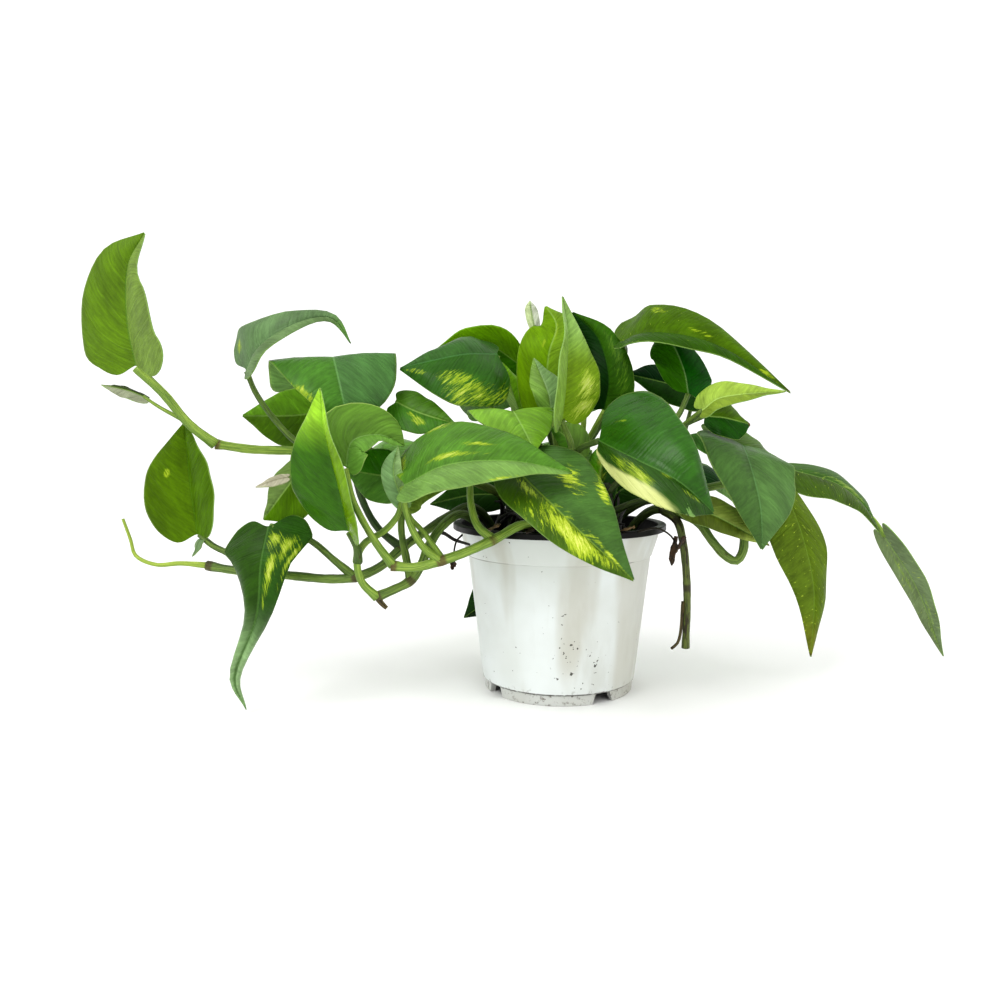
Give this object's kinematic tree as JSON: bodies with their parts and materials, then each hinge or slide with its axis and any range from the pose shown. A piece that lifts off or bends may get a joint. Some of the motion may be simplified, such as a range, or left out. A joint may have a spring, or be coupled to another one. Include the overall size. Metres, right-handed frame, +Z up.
{
  "type": "potted pothos plant",
  "caption": "Trailing pothos plant with variegated heart-shaped leaves in a round white nursery pot with a dark lip; leafy stems spill over both sides.",
  "frame": {"origin": "on the floor, on the axis of the pot", "axes": "+Z up; -Y towards the front, where the stem with the single long hanging leaf is on the right; +X to the right"},
  "size_m": [0.5338, 0.2192, 0.2624],
  "materials": {
    "pot": "white outside with a black lip and inside, slightly dirty at the foot",
    "soil": "dark crumbly potting mix",
    "leaf_bright": "glossy fresh green leaf",
    "leaf_mid": "glossy mid green leaf with yellow marks",
    "leaf_dark": "glossy dark green leaf with yellow marks",
    "leaf_olive": "satin olive green leaf with yellow flecks",
    "leaf_grey": "satin grey green leaf",
    "leaf_yellow": "satin yellow green leaf",
    "stem_light": "smooth light green stem",
    "stem_dark": "smooth dark green stem with brown joints"
  },
  "bodies": {
    "root": {"leaf_01": "leaf_bright", "leaf_03": "leaf_olive", "leaf_04": "leaf_dark", "leaf_06": "leaf_grey", "leaf_07": "leaf_olive", "leaf_08": "leaf_mid", "leaf_09": "leaf_bright", "leaf_10": "leaf_grey", "leaf_11": "leaf_dark", "leaf_13": "leaf_mid", "leaf_14": "leaf_bright", "leaf_15": "leaf_dark", "leaf_17": "leaf_bright", "leaf_18": "leaf_dark", "leaf_19": "leaf_yellow", "leaf_20": "leaf_grey", "leaf_21": "leaf_bright", "leaf_22": "leaf_dark", "leaf_23": "leaf_dark", "leaf_24": "leaf_grey", "leaf_25": "leaf_olive", "leaf_26": "leaf_mid", "leaf_27": "leaf_olive", "leaf_28": "leaf_yellow", "leaf_29": "leaf_dark", "leaf_30": "leaf_dark", "leaf_31": "leaf_dark", "leaf_32": "leaf_olive", "leaf_33": "leaf_grey", "leaf_35": "leaf_mid", "leaf_36": "leaf_dark", "leaf_39": "leaf_olive", "leaf_40": "leaf_mid", "leaf_42": "leaf_grey", "leaf_43": "leaf_mid", "leaf_44": "leaf_bright", "leaf_45": "leaf_dark", "leaf_46": "leaf_mid", "leaf_47": "leaf_dark", "leaf_48": "leaf_olive", "leaf_49": "leaf_dark", "leaf_50": "leaf_mid", "leaf_51": "leaf_dark", "leaf_52": "leaf_dark", "pot": "pot", "soil": "soil", "vine_a": "stem_light", "vine_b": "stem_dark", "vine_c": "stem_dark", "vine_d": "stem_light", "vine_e": "stem_dark", "vine_f": "stem_light", "vine_g": "stem_light", "vine_h": "stem_dark", "vine_i": "stem_dark", "vine_j": "stem_dark", "vine_l": "stem_dark", "vine_m": "stem_light"}
  },
  "joints": []
}
